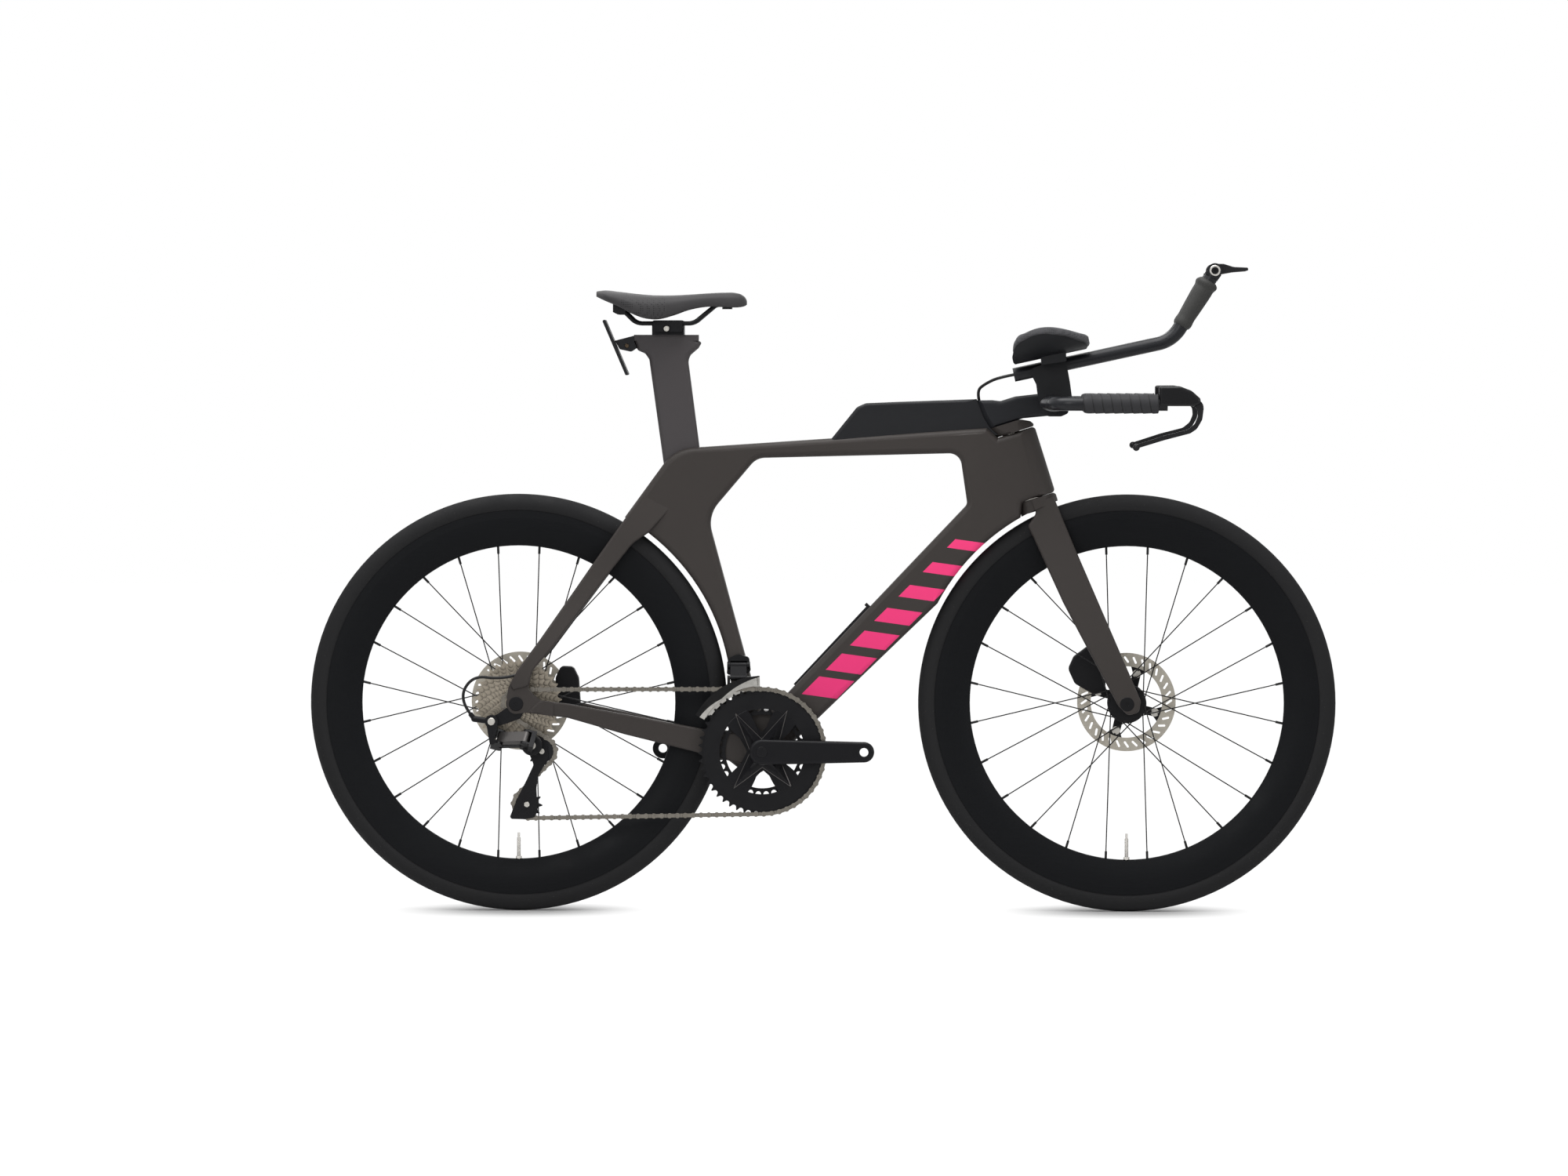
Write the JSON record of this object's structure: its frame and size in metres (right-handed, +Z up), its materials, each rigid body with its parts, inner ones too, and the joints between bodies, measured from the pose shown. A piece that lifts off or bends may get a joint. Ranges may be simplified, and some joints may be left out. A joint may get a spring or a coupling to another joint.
{
  "type": "time trial bike",
  "caption": "Time trial bicycle with aero frame, deep rims, base bar with forearm rests and extensions, chain drive with derailleurs and disc brakes.",
  "frame": {"origin": "on the ground midway between the two tyre contacts, in the bike's middle plane", "axes": "+X forward along the bike, +Y to the rider's left, +Z up; the drive side is -Y"},
  "size_m": [1.662, 0.4216, 1.0496],
  "materials": {
    "frame_paint": "matte",
    "post_paint": "matte",
    "black_matte": "matte",
    "black_gloss": "gloss",
    "rim_black": "satin",
    "tyre": "matte",
    "rubber": "matte",
    "tape": "matte",
    "foam": "matte",
    "saddle": "matte",
    "steel": "satin",
    "alloy": "satin",
    "alloy_black": "satin",
    "grey_alloy": "satin",
    "lever_grey": "satin"
  },
  "bodies": {
    "frame": {"frame": "frame_paint", "seatpost": "post_paint", "saddle_clamp": "alloy_black", "saddle_rails": "alloy_black", "saddle_shell": "black_matte", "saddle_cover": "saddle", "bottle_mounts": "black_matte", "storage_box": "black_matte", "bearings": "steel", "derailleur_hanger": "alloy_black", "rear_axle": "alloy_black", "rear_caliper": "black_gloss", "fd_body": "black_gloss", "chain": "steel", "rd_cable": "rubber", "rd_b_knuckle": "black_gloss"},
    "steering": {"fork": "frame_paint", "front_axle": "alloy_black", "front_caliper": "black_gloss", "stem": "black_matte", "headset_cap": "frame_paint", "base_bar": "black_matte", "bar_tape": "tape", "riser_towers": "black_matte", "extensions": "black_matte", "extension_grips": "rubber", "arm_cups": "black_matte", "arm_pads": "foam", "brake_lever_bodies": "black_gloss", "shifter_bodies": "black_gloss", "shift_cables": "rubber"},
    "front_wheel": {"front_tyre": "tyre", "front_rim": "rim_black", "front_spokes": "alloy_black", "front_hub": "alloy_black", "front_rotor": "steel"},
    "rear_wheel": {"rear_tyre": "tyre", "rear_rim": "rim_black", "rear_spokes": "alloy_black", "rear_hub": "alloy_black", "rear_rotor": "steel"},
    "crankset": {"crank_right": "black_gloss", "crank_left": "black_gloss", "chainrings": "black_gloss", "chainring_bolts": "alloy_black"},
    "cassette": {"cassette_sprockets": "steel", "freehub_body": "alloy"},
    "rd_outer_link": {"rd_outer_link": "grey_alloy"},
    "rd_inner_link": {"rd_inner_link": "alloy_black"},
    "rd_knuckle": {"rd_p_knuckle": "black_gloss"},
    "rd_cage": {"rd_cage": "black_gloss", "chain_tail": "steel"},
    "guide_pulley": {"guide_pulley": "rubber"},
    "tension_pulley": {"tension_pulley": "rubber"},
    "fd_link": {"fd_link": "alloy_black"},
    "fd_cage": {"fd_cage": "steel"},
    "brake_lever_left": {"brake_lever_left": "lever_grey"},
    "brake_lever_right": {"brake_lever_right": "lever_grey"},
    "shift_lever_left": {"shift_lever_left": "black_gloss"},
    "shift_lever_right": {"shift_lever_right": "black_gloss"}
  },
  "joints": [
    {"name": "steering_turn", "type": "hinge", "parent": "frame", "child": "steering", "pos_m": [0.44722, 0, 0.32357], "axis": [-0.3007, 0, 0.9537], "range_deg": [-35, 35]},
    {"name": "front_wheel_spin", "type": "hinge", "parent": "steering", "child": "front_wheel", "pos_m": [0.493, 0, 0.338], "axis": [0, 1, 0], "continuous": true},
    {"name": "rear_wheel_spin", "type": "hinge", "parent": "frame", "child": "rear_wheel", "pos_m": [-0.493, 0, 0.338], "axis": [0, 1, 0], "continuous": true},
    {"name": "crank_spin", "type": "hinge", "parent": "frame", "child": "crankset", "pos_m": [-0.0965, 0, 0.2603], "axis": [0, 1, 0], "continuous": true, "deforming": ["chain", "chain_tail"]},
    {"name": "cassette_spin", "type": "hinge", "parent": "frame", "child": "cassette", "pos_m": [-0.493, 0, 0.338], "axis": [0, 1, 0], "continuous": true},
    {"name": "rd_outer_swing", "type": "hinge", "parent": "frame", "child": "rd_outer_link", "pos_m": [-0.51842, -0.07629, 0.28214], "axis": [0.2074, 0.515, 0.8317], "range_deg": [0, 60]},
    {"name": "rd_inner_swing", "type": "hinge", "parent": "frame", "child": "rd_inner_link", "pos_m": [-0.52004, -0.06514, 0.27565], "axis": [0.2074, 0.515, 0.8317], "range_deg": [0, 60]},
    {"name": "rd_knuckle_level", "type": "hinge", "parent": "rd_outer_link", "child": "rd_knuckle", "pos_m": [-0.4769, -0.096, 0.284], "axis": [0.2074, 0.515, 0.8317], "range_deg": [-60, 0]},
    {"name": "rd_cage_swing", "type": "hinge", "parent": "rd_knuckle", "child": "rd_cage", "pos_m": [-0.4672, -0.066, 0.2715], "axis": [0, 1, 0], "range_deg": [-10, 35]},
    {"name": "guide_pulley_spin", "type": "hinge", "parent": "rd_cage", "child": "guide_pulley", "pos_m": [-0.45213, -0.0595, 0.26081], "axis": [0, 1, 0], "continuous": true},
    {"name": "tension_pulley_spin", "type": "hinge", "parent": "rd_cage", "child": "tension_pulley", "pos_m": [-0.47629, -0.0595, 0.17494], "axis": [0, 1, 0], "continuous": true},
    {"name": "fd_swing", "type": "hinge", "parent": "frame", "child": "fd_link", "pos_m": [-0.1365, -0.034, 0.3993], "axis": [1, 0, 0], "range_deg": [0, 24]},
    {"name": "fd_cage_level", "type": "hinge", "parent": "fd_link", "child": "fd_cage", "pos_m": [-0.1365, -0.043, 0.3793], "axis": [1, 0, 0], "range_deg": [-24, 0]},
    {"name": "brake_lever_left_pull", "type": "hinge", "parent": "steering", "child": "brake_lever_left", "pos_m": [0.59591, 0.195, 0.82746], "axis": [0, 1, 0], "range_deg": [0, 20]},
    {"name": "brake_lever_right_pull", "type": "hinge", "parent": "steering", "child": "brake_lever_right", "pos_m": [0.59591, -0.195, 0.82746], "axis": [0, 1, 0], "range_deg": [0, 20]},
    {"name": "shift_lever_left_turn", "type": "hinge", "parent": "steering", "child": "shift_lever_left", "pos_m": [0.63311, 0.055, 1.03756], "axis": [0, -1, 0], "range_deg": [-48, 0]},
    {"name": "shift_lever_right_turn", "type": "hinge", "parent": "steering", "child": "shift_lever_right", "pos_m": [0.63311, -0.055, 1.03756], "axis": [0, -1, 0], "range_deg": [0, 75]}
  ],
  "couplings": [
    {"joint": "cassette_spin", "follows": "crank_spin", "ratio": 4.5455},
    {"joint": "guide_pulley_spin", "follows": "crank_spin", "ratio": -4.5455},
    {"joint": "tension_pulley_spin", "follows": "crank_spin", "ratio": 4.5455},
    {"joint": "rd_outer_swing", "follows": "shift_lever_right_turn", "ratio": 0.8},
    {"joint": "rd_inner_swing", "follows": "shift_lever_right_turn", "ratio": 0.8},
    {"joint": "rd_knuckle_level", "follows": "shift_lever_right_turn", "ratio": -0.8},
    {"joint": "fd_swing", "follows": "shift_lever_left_turn", "ratio": -0.5},
    {"joint": "fd_cage_level", "follows": "shift_lever_left_turn", "ratio": 0.5}
  ]
}
